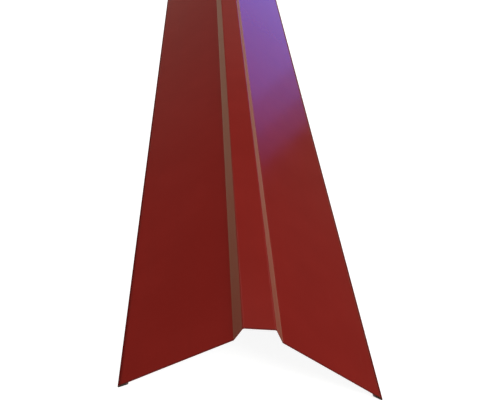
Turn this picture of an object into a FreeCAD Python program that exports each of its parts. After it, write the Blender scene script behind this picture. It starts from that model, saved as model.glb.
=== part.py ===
import FreeCAD, Part

import math
import os

import Sketcher

# Roof ridge cap, folded from one strip of coated steel sheet.
# A narrow flat top stands on two steep webs. Two wings slope down from the webs to cover the
# upper edge of the roofing, and each wing ends in an open hem folded back underneath.
# Frame: X across the ridge, Y along it, Z up. The origin is midway along the cap, on its
# centre line, at the level on which the two hem folds stand. Sizes are in millimetres.

# Widths are measured on the coated face, from corner to corner as if the bends were sharp.
DIMENSIONS = [
    ("cap_length", "2000", "length of the cap along the ridge"),
    ("top_width", "30", "flat top between its two corners"),
    ("web_width", "15", "each web, from the corner of the top to the corner of the wing"),
    ("wing_width", "115", "each wing, from the corner at its web to the outside of its hem fold"),
    ("hem_width", "10", "each hem, from the outside of its fold to its cut edge"),
    ("web_angle", "62", "slope of the webs below level, in degrees"),
    ("wing_pitch", "30", "slope of the wings below level, in degrees"),
    ("sheet_thickness", "0.5", "coated steel sheet"),
    ("bend_radius", "2", "inside radius of the four bends beside the webs"),
    ("hem_gap", "0.8", "clear gap between a hem and its wing"),
]

# One face of half the section runs from the centre line out to the cut edge of the hem.
# These are its pieces in order, numbered as the sketch holds them, for the two faces.
RUN = ["top", "top_bend", "web", "wing_bend", "wing", "fold", "hem"]
COATED = {name: number for number, name in enumerate(RUN)}
BACK = {name: number + len(RUN) for number, name in enumerate(RUN)}
CUT_EDGE = 2 * len(RUN)
CENTRE_LINE = CUT_EDGE + 1

# Each bend, the flats before and after it, and whether it turns clockwise.
BENDS = [
    ("top_bend", "top", "web", True),
    ("wing_bend", "web", "wing", False),
    ("fold", "wing", "hem", True),
]

# The sketch's numbers for the points of a piece, and for its own origin and upright axis.
START, END, MIDDLE = range(1, 4)
ORIGIN, UPRIGHT = -1, -2


def make_sheet(document):
    """The spreadsheet of driving dimensions."""
    sheet = document.addObject("Spreadsheet::Sheet", "Sizes")
    for row, (alias, value, meaning) in enumerate(DIMENSIONS, start=1):
        sheet.set(f"A{row}", alias)
        sheet.set(f"B{row}", value)
        sheet.setAlias(f"B{row}", alias)
        sheet.set(f"C{row}", meaning)
    document.recompute()
    return sheet


def heading(angle):
    return FreeCAD.Vector(math.cos(angle), math.sin(angle), 0)


def folded_face(start, flats, turns, radii):
    """The lines and arcs of one face of a folded strip that sets off from start along +x.

    Each flat but the last is followed by its turn, negative for clockwise, on the radius that
    the bend has on this face. Returns the pieces and the point where the face ends.
    """
    pieces = []
    point, angle = start, 0.0
    for number, flat in enumerate(flats):
        end = point + heading(angle) * flat
        pieces.append(Part.LineSegment(point, end))
        point = end
        if number < len(turns):
            turn, radius = turns[number], radii[number]
            to_centre = math.copysign(math.pi / 2, turn)
            centre = point + heading(angle + to_centre) * radius
            first = angle - to_centre
            circle = Part.Circle(centre, FreeCAD.Vector(0, 0, 1), radius)
            pieces.append(Part.ArcOfCircle(circle, min(first, first + turn), max(first, first + turn)))
            angle += turn
            point = centre + heading(angle - to_centre) * radius
    return pieces, point


def draw_half_section(sketch, sheet):
    """Draws the right half of the section in place, and returns its two sharp corners."""
    web_slope = math.radians(sheet.web_angle)
    wing_slope = math.radians(sheet.wing_pitch)
    inner_bend = sheet.bend_radius
    outer_bend = sheet.bend_radius + sheet.sheet_thickness
    inner_fold = sheet.hem_gap / 2
    outer_fold = sheet.hem_gap / 2 + sheet.sheet_thickness

    # A bend starts short of its sharp corner by its coated radius times the tangent of half
    # its turn, and the hem's fold starts one radius short of the outside of the fold.
    top_setback = outer_bend * math.tan(web_slope / 2)
    wing_setback = inner_bend * math.tan((web_slope - wing_slope) / 2)
    flats = [
        sheet.top_width / 2 - top_setback,
        sheet.web_width - top_setback - wing_setback,
        sheet.wing_width - wing_setback - outer_fold,
        sheet.hem_width - outer_fold,
    ]
    turns = [-web_slope, web_slope - wing_slope, -math.pi]
    height = (
        sheet.web_width * math.sin(web_slope)
        + (sheet.wing_width - outer_fold) * math.sin(wing_slope)
        + outer_fold * (1 + math.cos(wing_slope))
    )

    coated_start = FreeCAD.Vector(0, height, 0)
    back_start = FreeCAD.Vector(0, height - sheet.sheet_thickness, 0)
    coated, coated_end = folded_face(coated_start, flats, turns, [outer_bend, inner_bend, outer_fold])
    back, back_end = folded_face(back_start, flats, turns, [inner_bend, outer_bend, inner_fold])
    cut_edge = Part.LineSegment(coated_end, back_end)
    centre_line = Part.LineSegment(back_start, coated_start)
    sketch.addGeometry(coated + back + [cut_edge, centre_line], False)

    top_corner = FreeCAD.Vector(sheet.top_width / 2, height, 0)
    wing_corner = top_corner + heading(-web_slope) * sheet.web_width
    return [sketch.addGeometry(Part.Point(corner), True) for corner in (top_corner, wing_corner)]


def constrain_half_section(sketch, corners):
    """Fixes the shape: bends tangent to their flats, and every size taken from the sheet."""
    top_corner, wing_corner = corners

    def add(*words):
        return sketch.addConstraint(Sketcher.Constraint(*words))

    def drive(name, expression, *words):
        value = sketch.evalExpression(expression).Value
        radians = math.radians(value) if words[0] == "Angle" else value
        sketch.renameConstraint(add(*words, radians), name)
        sketch.setExpression(f"Constraints.{name}", expression)

    # An arc always runs anticlockwise, so the strip enters a clockwise bend at the arc's end.
    for bend, before, after, clockwise in BENDS:
        way_in, way_out = (END, START) if clockwise else (START, END)
        for face in (COATED, BACK):
            add("Tangent", face[before], END, face[bend], way_in)
            add("Tangent", face[bend], way_out, face[after], START)
        add("Coincident", COATED[bend], MIDDLE, BACK[bend], MIDDLE)

    add("Coincident", CENTRE_LINE, START, BACK["top"], START)
    add("Coincident", CENTRE_LINE, END, COATED["top"], START)
    add("Coincident", CUT_EDGE, START, COATED["hem"], END)
    add("Coincident", CUT_EDGE, END, BACK["hem"], END)
    add("PointOnObject", COATED["top"], START, UPRIGHT)
    add("Vertical", CENTRE_LINE)
    add("Horizontal", COATED["top"])
    add("Horizontal", BACK["top"])
    add("Parallel", COATED["wing"], COATED["hem"])
    add("Parallel", COATED["hem"], BACK["hem"])
    add("Perpendicular", COATED["hem"], CUT_EDGE)
    for corner, before, after in ((top_corner, "top", "web"), (wing_corner, "web", "wing")):
        add("PointOnObject", corner, START, COATED[before])
        add("PointOnObject", corner, START, COATED[after])

    inner_bend = "Sizes.bend_radius * 1 mm"
    outer_bend = "(Sizes.bend_radius + Sizes.sheet_thickness) * 1 mm"
    inner_fold = "Sizes.hem_gap / 2 * 1 mm"
    outer_fold = "(Sizes.hem_gap / 2 + Sizes.sheet_thickness) * 1 mm"
    drive("inside_of_top_bend", inner_bend, "Radius", BACK["top_bend"])
    drive("outside_of_top_bend", outer_bend, "Radius", COATED["top_bend"])
    drive("inside_of_wing_bend", inner_bend, "Radius", COATED["wing_bend"])
    drive("outside_of_wing_bend", outer_bend, "Radius", BACK["wing_bend"])
    drive("inside_of_fold", inner_fold, "Radius", BACK["fold"])
    drive("outside_of_fold", outer_fold, "Radius", COATED["fold"])
    drive("height_of_fold", outer_fold, "DistanceY", ORIGIN, START, COATED["fold"], MIDDLE)

    drive("half_top", "Sizes.top_width / 2 * 1 mm", "DistanceX", ORIGIN, START, top_corner, START)
    drive("web", "Sizes.web_width * 1 mm", "Distance", top_corner, START, wing_corner, START)
    drive("wing_short_of_fold", f"Sizes.wing_width * 1 mm - {outer_fold}",
          "Distance", wing_corner, START, COATED["wing"], END)
    drive("hem_short_of_fold", f"Sizes.hem_width * 1 mm - {outer_fold}",
          "Distance", COATED["hem"], START, COATED["hem"], END)
    drive("web_slope", "-Sizes.web_angle * 1 deg", "Angle", COATED["web"])
    drive("wing_slope", "-Sizes.wing_pitch * 1 deg", "Angle", COATED["wing"])


def make_ridge_cap(document, sheet):
    """The folded strip: half of its section, drawn out along the ridge and mirrored across it."""
    body = document.addObject("PartDesign::Body", "RidgeCap")
    body.Label = "ridge_cap"
    body.Placement = FreeCAD.Placement()

    section = body.newObject("Sketcher::SketchObject", "HalfSection")
    across = next(f for f in body.Origin.OriginFeatures if f.Role == "XZ_Plane")
    section.AttachmentSupport = [(across, "")]
    section.MapMode = "FlatFace"
    constrain_half_section(section, draw_half_section(section, sheet))
    document.recompute()

    half = body.newObject("PartDesign::Pad", "HalfCap")
    half.Profile = section
    half.SideType = "Symmetric"
    half.setExpression("Length", "Sizes.cap_length * 1 mm")
    document.recompute()

    whole = body.newObject("PartDesign::Mirrored", "WholeCap")
    whole.Originals = [half]
    whole.MirrorPlane = (section, ["V_Axis"])
    body.Tip = whole
    document.recompute()
    return body


def check(document, section, body):
    """Stops the build unless everything computed and the part is one valid solid."""
    for thing in document.Objects:
        if "Invalid" in thing.State or "Error" in thing.State:
            raise RuntimeError(f"{thing.Name} failed: {thing.State}")
    if not section.FullyConstrained:
        raise RuntimeError(f"{section.Name} is not fully constrained")
    if body.Shape.isNull() or not body.Shape.isValid() or len(body.Shape.Solids) != 1:
        raise RuntimeError(f"{body.Label} is not one valid solid")


def main():
    document = FreeCAD.newDocument("RoofRidgeCap")
    sheet = make_sheet(document)
    cap = make_ridge_cap(document, sheet)
    check(document, document.getObject("HalfSection"), cap)
    os.makedirs("parts", exist_ok=True)
    cap.Shape.exportStep(os.path.join("parts", f"{cap.Label}.step"))


main()
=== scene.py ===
import math

import bpy
import numpy as np
from mathutils import Matrix, Vector


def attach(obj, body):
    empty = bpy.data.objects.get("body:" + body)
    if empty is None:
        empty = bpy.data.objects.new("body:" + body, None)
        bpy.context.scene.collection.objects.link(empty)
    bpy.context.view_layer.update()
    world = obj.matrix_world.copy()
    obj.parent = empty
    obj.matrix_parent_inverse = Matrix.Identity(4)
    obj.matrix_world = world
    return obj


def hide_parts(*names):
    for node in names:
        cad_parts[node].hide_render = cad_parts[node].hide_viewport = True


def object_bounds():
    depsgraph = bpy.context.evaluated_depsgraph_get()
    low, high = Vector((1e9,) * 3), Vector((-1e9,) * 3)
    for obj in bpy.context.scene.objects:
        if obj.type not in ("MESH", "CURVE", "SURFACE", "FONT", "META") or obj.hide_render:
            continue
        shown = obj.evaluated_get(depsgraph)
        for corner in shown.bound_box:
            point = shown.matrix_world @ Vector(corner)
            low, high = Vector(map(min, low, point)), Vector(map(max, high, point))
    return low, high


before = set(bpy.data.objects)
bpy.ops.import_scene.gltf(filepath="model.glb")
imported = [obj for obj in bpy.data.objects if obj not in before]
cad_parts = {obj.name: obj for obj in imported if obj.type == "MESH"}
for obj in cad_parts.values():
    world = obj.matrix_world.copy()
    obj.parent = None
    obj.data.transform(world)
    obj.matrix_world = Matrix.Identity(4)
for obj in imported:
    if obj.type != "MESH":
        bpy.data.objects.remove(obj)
cad_low, cad_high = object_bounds()
NEAR_END, FAR_END = cad_low.y, cad_high.y

# The folded section, in metres. Widths run along the coated face from corner to corner, as if
# the bends were sharp, and to the outside of the hem's fold. The length is the frame's.
TOP_WIDTH = 0.030
WEB_WIDTH = 0.015
WING_WIDTH = 0.115
HEM_WIDTH = 0.010
WEB_ANGLE = math.radians(62)
WING_PITCH = math.radians(30)
SHEET_THICKNESS = 0.0005
BEND_RADIUS = 0.002
HEM_GAP = 0.0008
FOLD_RADIUS = HEM_GAP / 2 + SHEET_THICKNESS
CREST_RADIUS = BEND_RADIUS + SHEET_THICKNESS
CREST_SETBACK = CREST_RADIUS * math.tan(WEB_ANGLE / 2)
VALLEY_SETBACK = BEND_RADIUS * math.tan((WEB_ANGLE - WING_PITCH) / 2)

# How far each hem springs back open after its fold, which widens the gap towards its cut edge.
HEM_SPRING = math.radians(4)

# How far the thin sheet strays from true in the middle of its flats.
WING_WAVE = 0.00020
TOP_WAVE = 0.00005

# How far the shears draw the coated face down at a cut end, over what length they do it, and
# how far in from that end the coat is darkened with painted shade.
SHEAR_DROP = 0.00009
SHEAR_REACH = 0.0006
END_SHADE_REACH = 0.0010

# Even slices along the length, between the close ones at the two cut ends.
SLICES = 200

# The power that gives a bell a level top and a quick fall at its width.
LEVEL_TOP = 12

# How much of the floor's white is its own and takes no shadow.
FLOOR_WHITENESS = 0.7

# The camera, fitted to the corners and fold lines of the photograph.
IMAGE_WIDTH = 500
FOCAL_LENGTH_PIXELS = 909.0
CAMERA_PLACE = (-0.0846, -1.6513, 0.5330)
CAMERA_YAW = math.radians(8.256)
CAMERA_PITCH = math.radians(62.198)
CAMERA_ROLL = math.radians(-12.268)


class Wire:
    """A node's output. Arithmetic on it adds a Math node and gives that node's output."""

    def __init__(self, shader, socket):
        self.shader = shader
        self.socket = socket

    def math(self, operation, *values):
        settings = {"operation": operation}
        return self.shader.node("ShaderNodeMath", settings, dict(enumerate(values)))

    def __add__(self, other):
        return self.math("ADD", self, other)

    def __sub__(self, other):
        return self.math("SUBTRACT", self, other)

    def __mul__(self, other):
        return self.math("MULTIPLY", self, other)

    def __rsub__(self, other):
        return self.math("SUBTRACT", other, self)

    __radd__ = __add__
    __rmul__ = __mul__

    def between(self, low, high):
        """0 up to low, 1 from high, and a smooth step from one to the other between them."""
        settings = {"interpolation_type": "SMOOTHSTEP"}
        values = {"Value": self, "From Min": low, "From Max": high}
        return self.shader.node("ShaderNodeMapRange", settings, values)

    def within(self, low, full, still_full, high):
        """1 from full to still_full, falling smoothly to 0 at low and at high."""
        return self.between(low, full) * (1 - self.between(still_full, high))


class Shader:
    """Builds one node tree out of wires."""

    def __init__(self, tree):
        self.tree = tree
        tree.nodes.clear()

    def node(self, kind, settings=None, values=None, output=0):
        """Adds a node: its settings are set first, then its sockets get values or wires."""
        made = self.tree.nodes.new(kind)
        for name, setting in (settings or {}).items():
            setattr(made, name, setting)
        for name, value in (values or {}).items():
            if isinstance(value, Wire):
                self.tree.links.new(value.socket, made.inputs[name])
            else:
                made.inputs[name].default_value = value
        return Wire(self, made.outputs[output]) if made.outputs else None

    def mix(self, factor, first, second):
        """Mixes two colours: 0 is the first and 1 the second."""
        settings = {"data_type": "RGBA"}
        return self.node("ShaderNodeMix", settings, {0: factor, 6: first, 7: second}, output=2)

    def noise(self, vector, scale, detail=2.0, roughness=0.5):
        values = {"Vector": vector, "Scale": scale, "Detail": detail, "Roughness": roughness}
        return self.node("ShaderNodeTexNoise", None, values)

    def stretched(self, vector, factors):
        """A vector with each of its parts multiplied by a factor of its own."""
        return self.node("ShaderNodeVectorMath", {"operation": "MULTIPLY"}, {0: vector, 1: factors})

    def parts(self, vector):
        """The x, y and z of a vector."""
        x = self.node("ShaderNodeSeparateXYZ", None, {"Vector": vector})
        return [Wire(self, socket) for socket in x.socket.node.outputs]

    def attribute(self, name):
        return self.node("ShaderNodeAttribute", {"attribute_name": name}, output="Fac")

    def ray(self, kind):
        """1 for rays of that kind."""
        return self.node("ShaderNodeLightPath", output=kind)

    def bump(self, height, depth):
        """A bump whose height runs from 0 to 1 over depth metres."""
        return self.node("ShaderNodeBump", None, {"Height": height, "Distance": depth})

    def surface(self, shader):
        self.node("ShaderNodeOutputMaterial", None, {"Surface": shader})


def new_material(name):
    """A material, its node builder, and a place on the piece in the object's own metres."""
    material = bpy.data.materials.new(name)
    material.use_nodes = True
    s = Shader(material.node_tree)
    return material, s, s.node("ShaderNodeTexCoord", output="Object")


def rgb(red, green, blue):
    return (red, green, blue, 1.0)


def new_object(name, data):
    thing = bpy.data.objects.new(name, data)
    bpy.context.scene.collection.objects.link(thing)
    return thing


def run_outwards():
    """The coated face of the right half of the section, from the centre line to the hem's edge.

    A flat is a straight line. A bend is an arc on which the heading turns evenly: each point is
    the arc's centre plus its radius times the spoke at right angles to the heading there.
    Returns the points (x, z), the coated face's normals, the distance run along the face, and
    the run at the end of each stretch.
    """
    # Each stretch: its length if flat or its radius if bent, its turn, and its steps.
    stretches = [
        (TOP_WIDTH / 2 - CREST_SETBACK, 0.0, 8),
        (CREST_RADIUS, -WEB_ANGLE, 10),
        (WEB_WIDTH - CREST_SETBACK - VALLEY_SETBACK, 0.0, 8),
        (BEND_RADIUS, WEB_ANGLE - WING_PITCH, 7),
        (WING_WIDTH - VALLEY_SETBACK - FOLD_RADIUS, 0.0, 28),
        (FOLD_RADIUS, HEM_SPRING - math.pi, 18),
        (HEM_WIDTH - FOLD_RADIUS, 0.0, 6),
    ]
    place, heading, run = np.array([0.0, cad_high.z]), 0.0, 0.0
    points, headings, runs, ends = [place[None, :]], [np.zeros(1)], [np.zeros(1)], []
    for size, turn, steps in stretches:
        share = np.linspace(0.0, 1.0, steps + 1)[1:]
        angles = heading + turn * share
        if turn:
            side = math.copysign(1.0, turn)
            centre = place + size * side * np.array([-math.sin(heading), math.cos(heading)])
            arc = centre + size * side * np.stack([np.sin(angles), -np.cos(angles)], axis=1)
            length = size * abs(turn)
            points.append(arc)
        else:
            ahead = np.array([math.cos(heading), math.sin(heading)])
            length = size
            points.append(place + share[:, None] * size * ahead)
        headings.append(angles)
        runs.append(run + length * share)
        place, heading, run = points[-1][-1], angles[-1], run + length
        ends.append(run)
    headings = np.concatenate(headings)
    normals = np.stack([-np.sin(headings), np.cos(headings)], axis=1)
    return np.vstack(points), normals, np.concatenate(runs), ends


def both_halves(right, flip):
    """Mirrors a column of the right half to the left, so that it runs from hem to hem."""
    return np.concatenate([right[:0:-1] * flip, right])


def near(value, centre, width, power=2):
    """1 at the centre, falling off as a bell of that width; a higher power flattens its top."""
    return np.exp(-(np.abs((value - centre) / width) ** power))


def add_mesh(name, points, quads, materials, material_of):
    """A smooth piece whose corners over 35 degrees, such as those of the cut edges, stay crisp."""
    mesh = bpy.data.meshes.new(name)
    mesh.from_pydata(points, [], quads)
    for material in materials:
        mesh.materials.append(material)
    mesh.polygons.foreach_set("material_index", material_of.astype(np.int32))
    mesh.polygons.foreach_set("use_smooth", np.ones(len(quads), bool))
    mesh.set_sharp_from_angle(angle=math.radians(35))
    mesh.update()
    return new_object(name, mesh)


def folded_sheet(materials):
    """The whole cap as one closed surface: the section carried along the length.

    Point = section point + normal x (sway - drop), at each of the slices along Y, on the coated
    face, and section point + normal x (sway - thickness) on the back. The sway of a wing is a
    half sine across it times a few long sines along the cap, as thin sheet lies when it is not
    held down. The top only sinks, so that the cap keeps its height. The drop grows as a square
    over the last stretch before each cut end.
    """
    points, normals, runs, ends = run_outwards()
    top_end, crest_end, web_end, valley_end, wing_end, fold_end, _ = ends
    section = np.stack([both_halves(points[:, 0], -1), both_halves(points[:, 1], 1)], axis=1)
    facing = np.stack([both_halves(normals[:, 0], -1), both_halves(normals[:, 1], 1)], axis=1)
    run = both_halves(runs, -1)
    out = np.abs(run)

    # Slices crowd at both cut ends, where the shears have drawn the edge down.
    close = SHEAR_REACH * np.array([0.0, 0.15, 0.4, 1.0, 2.0])
    middle = np.linspace(NEAR_END + 4 * SHEAR_REACH, FAR_END - 4 * SHEAR_REACH, SLICES)
    along = np.concatenate([NEAR_END + close, middle, (FAR_END - close)[::-1]])
    from_end = np.minimum(along - NEAR_END, FAR_END - along)

    across_wing = np.sin(np.pi * np.clip((out - valley_end) / (wing_end - valley_end), 0, 1))
    across_top = np.cos(np.pi / 2 * np.clip(out / top_end, 0, 1))

    # The waves' lengths in metres, the weight of each, and where each starts.
    random = np.random.default_rng(11)
    lengths = np.array([1.3, 0.71, 0.38, 0.23])
    weights = np.array([0.5, 0.28, 0.15, 0.07])
    phases = random.uniform(0, 2 * np.pi, (3, len(lengths)))
    angles = 2 * np.pi * along[None, :, None] / lengths + phases[:, None, :]
    left_sway, right_sway, top_sway = (np.sin(angles) * weights).sum(axis=2)
    sway = np.where(run < 0, left_sway[:, None], right_sway[:, None]) * across_wing * WING_WAVE
    sway = sway - (0.5 + 0.5 * top_sway[:, None]) * across_top * TOP_WAVE

    drop = SHEAR_DROP * np.clip(1 - from_end / SHEAR_REACH, 0, 1) ** 2
    slices, width = len(along), len(run)

    def face(offset):
        flat = section[None] + facing[None] * offset[..., None]
        y = np.broadcast_to(along[:, None], (slices, width))
        return np.stack([flat[..., 0], y, flat[..., 1]], axis=2).reshape(-1, 3)

    vertices = np.concatenate([face(sway - drop[:, None]), face(sway - SHEET_THICKNESS)])
    top = np.arange(slices * width).reshape(slices, width)
    under = top + slices * width

    def quads(a, b, c, d):
        return np.stack([x.ravel() for x in (a, b, c, d)], axis=1)

    coated_faces = quads(top[:-1, :-1], top[:-1, 1:], top[1:, 1:], top[1:, :-1])
    back_faces = quads(under[:-1, :-1], under[1:, :-1], under[1:, 1:], under[:-1, 1:])
    cut_faces = np.concatenate([
        quads(top[0, 1:], top[0, :-1], under[0, :-1], under[0, 1:]),
        quads(top[-1, :-1], top[-1, 1:], under[-1, 1:], under[-1, :-1]),
        quads(top[:-1, 0], top[1:, 0], under[1:, 0], under[:-1, 0]),
        quads(top[1:, -1], top[:-1, -1], under[:-1, -1], under[1:, -1]),
    ])
    faces = np.concatenate([coated_faces, back_faces, cut_faces])
    material_of = np.repeat([0, 1, 2], [len(coated_faces), len(back_faces), len(cut_faces)])
    piece = add_mesh("ridge_cap_sheet", vertices, faces, materials, material_of)

    def attribute(name, over_face):
        values = np.tile(np.broadcast_to(over_face, (slices, width)).ravel(), 2)
        made = piece.data.attributes.new(name, "FLOAT", "POINT")
        made.data.foreach_set("value", values.astype(np.float32))

    # Where the sheet is handled or folded: each web from the middle of one bend to the middle of
    # the other, the outermost line of the hem's fold, the inside of the hem, and the cut ends. The
    # last three also carry painted shade.
    web_start, web_stop = (top_end + crest_end) / 2, (web_end + valley_end) / 2
    dulled_width = 1.04 * (web_stop - web_start) / 2
    rubbed_and_shaded_line = wing_end + (fold_end - wing_end) / 4
    rubbed_and_shaded_width = 1.7 * FOLD_RADIUS
    attribute("web", near(out, (web_start + web_stop) / 2, dulled_width, LEVEL_TOP))
    attribute("hem_fold", near(out, rubbed_and_shaded_line, rubbed_and_shaded_width))
    attribute("hem_slot", near(out, (wing_end + fold_end) / 2, HEM_WIDTH, LEVEL_TOP))
    attribute("cut_end", near(from_end, 0, END_SHADE_REACH)[:, None])
    return piece


def coat_material():
    """Satin red-brown polyester coat, faintly mottled, with orange peel and light handling marks.

    It is duller on the webs, and matt where the hem's fold is rubbed and darker there, a painted
    shade. It is also darkened at the cut ends with painted shade.
    """
    material, s, place = new_material("red_brown_coat")
    full_red, deep_red = rgb(0.208, 0.0140, 0.0108), rgb(0.195, 0.0126, 0.0096)
    streak_red, speck_red = rgb(0.183, 0.0128, 0.0100), rgb(0.27, 0.03, 0.024)
    scuff_red, matt_shaded_red = rgb(0.26, 0.045, 0.038), rgb(0.11, 0.0065, 0.0055)
    fold_painted_shade, cut_end_painted_shade = rgb(0.08, 0.010, 0.009), rgb(0.04, 0.008, 0.007)

    mottle = s.noise(place, 14.0, detail=4.0)
    streaks = s.noise(s.stretched(place, (60.0, 2.2, 60.0)), 1.0, detail=5.0, roughness=0.6)
    grain = s.noise(place, 900.0)
    peel = s.noise(place, 420.0, detail=1.5)
    scuffs = s.noise(s.stretched(place, (170.0, 14.0, 170.0)), 1.0, detail=6.0, roughness=0.7)
    scuffed = scuffs.between(0.63, 0.74)
    web, fold, cut_end = s.attribute("web"), s.attribute("hem_fold"), s.attribute("cut_end")

    colour = s.mix(mottle.between(0.3, 0.7), deep_red, full_red)
    colour = s.mix(streaks.between(0.35, 0.75) * 0.35, colour, streak_red)
    colour = s.mix(grain.between(0.62, 0.8) * 0.12, colour, speck_red)
    colour = s.mix(scuffed * 0.10, colour, scuff_red)
    # Painted shade: the outer line of the hem's fold is darkened.
    colour = s.mix(fold * 0.7, colour, fold_painted_shade)
    # Painted shade: the coat is darkened at the cut ends.
    colour = s.mix(cut_end * 0.85, colour, cut_end_painted_shade)

    rough = 0.09 + mottle * 0.04 + streaks * 0.03 + scuffed * 0.06 + web * 0.26 + fold * 0.5
    normal = s.bump(peel, 0.00001)
    satin = s.node("ShaderNodeBsdfPrincipled", None, {
        "Base Color": colour,
        "Roughness": rough,
        "Specular IOR Level": 0.05,
        "Normal": normal,
    })
    # The matt coat along the hem's fold is a darker red, which is painted shade.
    matt = s.node("ShaderNodeBsdfDiffuse", None, {"Color": matt_shaded_red, "Normal": normal})
    s.surface(s.node("ShaderNodeMixShader", None, {0: fold.between(0.1, 0.7), 1: satin, 2: matt}))
    return material


def backing_material():
    """Thin grey backing coat on the hidden face, with the faint streaks of the coating rollers,
    and darkened inside the hems with painted shade."""
    material, s, place = new_material("grey_backing_coat")
    streaks = s.noise(s.stretched(place, (90.0, 1.5, 90.0)), 1.0, detail=4.0)
    grain = s.noise(place, 600.0)
    colour = s.mix(streaks.between(0.3, 0.7), rgb(0.39, 0.40, 0.42), rgb(0.45, 0.46, 0.48))
    colour = s.mix(grain.between(0.6, 0.8) * 0.25, colour, rgb(0.30, 0.31, 0.33))
    # Painted shade: the backing is darkened inside the hems.
    colour = s.mix(s.attribute("hem_slot") * 0.9, colour, rgb(0.035, 0.026, 0.022))
    s.surface(s.node("ShaderNodeBsdfPrincipled", None, {
        "Base Color": colour,
        "Roughness": 0.6 + streaks * 0.1,
        "Specular IOR Level": 0.05,
        "Normal": s.bump(grain, 0.000008),
    }))
    return material


def cut_edge_material():
    """The sheared edges, with the red coat wiped down over them by the shears, and bare steel at
    the hems, darkened with painted shade and with fine drag lines across the thickness."""
    material, s, place = new_material("sheared_steel_edge")
    wiped_red = rgb(0.24, 0.018, 0.014)
    lines = s.noise(s.stretched(place, (2600.0, 900.0, 500.0)), 1.0, detail=3.0)
    # The steel's dark colour is painted shade.
    shaded_steel = s.mix(lines.between(0.35, 0.7), rgb(0.022, 0.016, 0.013), rgb(0.060, 0.046, 0.040))
    s.surface(s.node("ShaderNodeBsdfPrincipled", None, {
        "Base Color": s.mix(s.attribute("hem_slot"), wiped_red, shaded_steel),
        "Metallic": 0.55,
        "Roughness": 0.5 + lines * 0.15,
        "Normal": s.bump(lines, 0.00001),
    }))
    return material


def floor_material():
    """Matt floor, white where it is seen, with a softened shadow of the cap.

    What the coat mirrors of it is as bright, under a warmer light near the camera than ahead, and
    a little warmer on the left than on the right, and white under the cap. The light that it
    throws back on the cap is that of a duller, grey floor.
    """
    material, s, place = new_material("pale_floor")
    white, dull_grey, pale = rgb(1.0, 1.0, 1.0), rgb(0.42, 0.42, 0.42), rgb(0.97, 0.97, 0.97)
    x, y, _ = s.parts(place)
    ahead = y.between(-0.9, 0.9)
    left = s.mix(ahead, rgb(1.0, 0.92, 0.43), rgb(1.0, 0.92, 0.56))
    right = s.mix(ahead, rgb(1.0, 0.86, 0.42), rgb(1.0, 0.88, 0.75))
    beside_cap = x.math("ABSOLUTE", x).between(0.11, 0.12)
    mirrored = s.mix(beside_cap, white, s.mix(x.between(-0.08, 0.08), left, right))

    camera = s.ray("Is Camera Ray")
    seen = camera + s.ray("Is Glossy Ray") + s.ray("Is Transmission Ray")
    lit = s.node("ShaderNodeBsdfDiffuse", None, {"Color": s.mix(seen, dull_grey, pale)})
    own_light = {"Color": s.mix(camera, mirrored, white), "Strength": 1.3}
    bright = s.node("ShaderNodeEmission", None, own_light)
    s.surface(s.node("ShaderNodeMixShader", None, {0: seen * FLOOR_WHITENESS, 1: lit, 2: bright}))
    return material


def make_floor(material):
    """A level disc under the cap: points on a circle of the floor's radius, and one face."""
    radius, count = 45.0, 96
    turns = np.linspace(0, 2 * np.pi, count, endpoint=False)
    rim = np.stack([radius * np.cos(turns), radius * np.sin(turns), np.zeros(count)], axis=1)
    mesh = bpy.data.meshes.new("floor")
    mesh.from_pydata(rim, [], [range(count)])
    mesh.materials.append(material)
    return new_object("floor", mesh)


def make_surroundings():
    """The studio round the cap, by height, the sine of the elevation, and azimuth from ahead.

    The ceiling is light, with a darker strip straight ahead and a bright light on either side of
    that, which draw the thin glints along the crest bends. The walls are dark, apart from a pale
    horizon and some haze ahead on the left, and a dim panel straight ahead that the top mirrors.
    """
    world = bpy.data.worlds.new("studio")
    bpy.context.scene.world = world
    world.use_nodes = True
    s = Shader(world.node_tree)
    x, y, z = s.parts(s.node("ShaderNodeTexCoord", output="Generated"))
    azimuth = x.math("ARCTAN2", x, y) * (180 / math.pi)

    dark_strip = azimuth.within(-9, -3, 10, 15) * (1 - z.between(0.50, 0.62))
    ceiling = z.between(0.36, 0.50) * (1 - dark_strip * 0.85)
    sides = azimuth.within(-24, -20, -10, -7) + azimuth.within(13, 15, 26, 29)
    lights = sides * z.within(0.42, 0.45, 0.56, 0.60)
    horizon = azimuth.within(-27, -21, 4, 10) * (1 - z.between(0.0, 0.13))
    haze = azimuth.within(-25, -21, -12, -8) * (1 - z.between(0.19, 0.24))
    panel = azimuth.within(-9, 1, 6, 14) * (1 - z.between(0.28, 0.40))
    level = 0.08 + ceiling * 0.5 + lights * 1.6 + horizon * 0.5 + haze * 0.06 + panel * 0.13
    background = s.node("ShaderNodeBackground", None, {"Color": rgb(1.0, 0.97, 0.86), "Strength": level})
    s.node("ShaderNodeOutputWorld", None, {"Surface": background})


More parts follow.
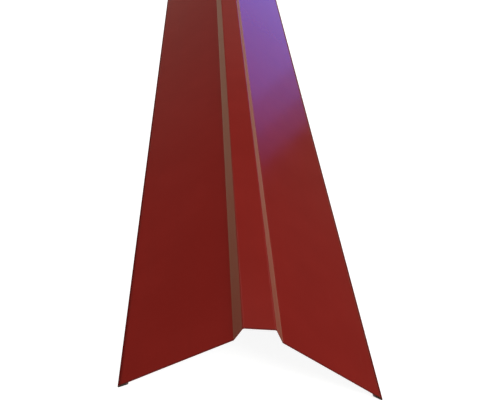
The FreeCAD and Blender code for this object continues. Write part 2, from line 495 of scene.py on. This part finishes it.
def add_lamp(name, kind, colour, energy, place, target=(0, 0, 0)):
    """A lamp at its place, pointed along its own -Z at the target."""
    lamp = bpy.data.lights.new(name, kind)
    lamp.color = colour
    lamp.energy = energy
    thing = new_object(name, lamp)
    thing.location = place
    thing.rotation_euler = (Vector(target) - Vector(place)).to_track_quat("-Z", "Y").to_euler()
    return thing


def make_lamps():
    """A broad soft key from above, leaning to the right and towards the camera, and a far
    window of blue daylight, low on the right ahead, which only the right-hand wing mirrors.

    The window's panes share their left edge and end on the right at azimuths a little apart,
    and all lean over, so that the wing mirrors a slanting patch with a soft edge.
    """
    key = add_lamp("key", "SUN", (1.0, 0.99, 0.97), 0.745 * math.pi, (0.43, -0.80, 1.0))
    key.data.angle = math.radians(30)

    distance, level, height = 60.0, 5.0, 13.0
    left_edge, right_edges = 9.0, (20.0, 21.8, 23.4)
    radiance, lean = 0.68, math.radians(20)
    for number, right_edge in enumerate(right_edges, start=1):
        azimuth = math.radians((left_edge + right_edge) / 2)
        width = 2 * distance * math.tan(math.radians((right_edge - left_edge) / 2))
        energy = radiance * math.pi * width * height
        place = (distance * math.sin(azimuth), distance * math.cos(azimuth), level)
        pane = add_lamp(f"blue_window_{number}", "AREA", (0.09, 0.20, 1.0), energy, place, (0, 0, level))
        pane.rotation_euler.rotate_axis("Z", lean)
        pane.data.shape = "RECTANGLE"
        pane.data.size, pane.data.size_y = width, height
        pane.visible_camera = False


def make_camera():
    camera = new_object("camera", bpy.data.cameras.new("camera"))
    camera.data.sensor_width = 36.0
    camera.data.lens = FOCAL_LENGTH_PIXELS / IMAGE_WIDTH * camera.data.sensor_width
    camera.data.clip_start, camera.data.clip_end = 0.01, 200.0
    turn = (
        Matrix.Rotation(CAMERA_YAW, 4, "Z")
        @ Matrix.Rotation(CAMERA_PITCH, 4, "X")
        @ Matrix.Rotation(CAMERA_ROLL, 4, "Y")
    )
    camera.matrix_world = Matrix.Translation(CAMERA_PLACE) @ turn
    bpy.context.scene.camera = camera


sheet = folded_sheet([coat_material(), backing_material(), cut_edge_material()])
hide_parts("ridge_cap")
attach(sheet, "root")

floor = make_floor(floor_material())
make_surroundings()
make_lamps()
make_camera()
bpy.context.scene.view_settings.view_transform = "Standard"
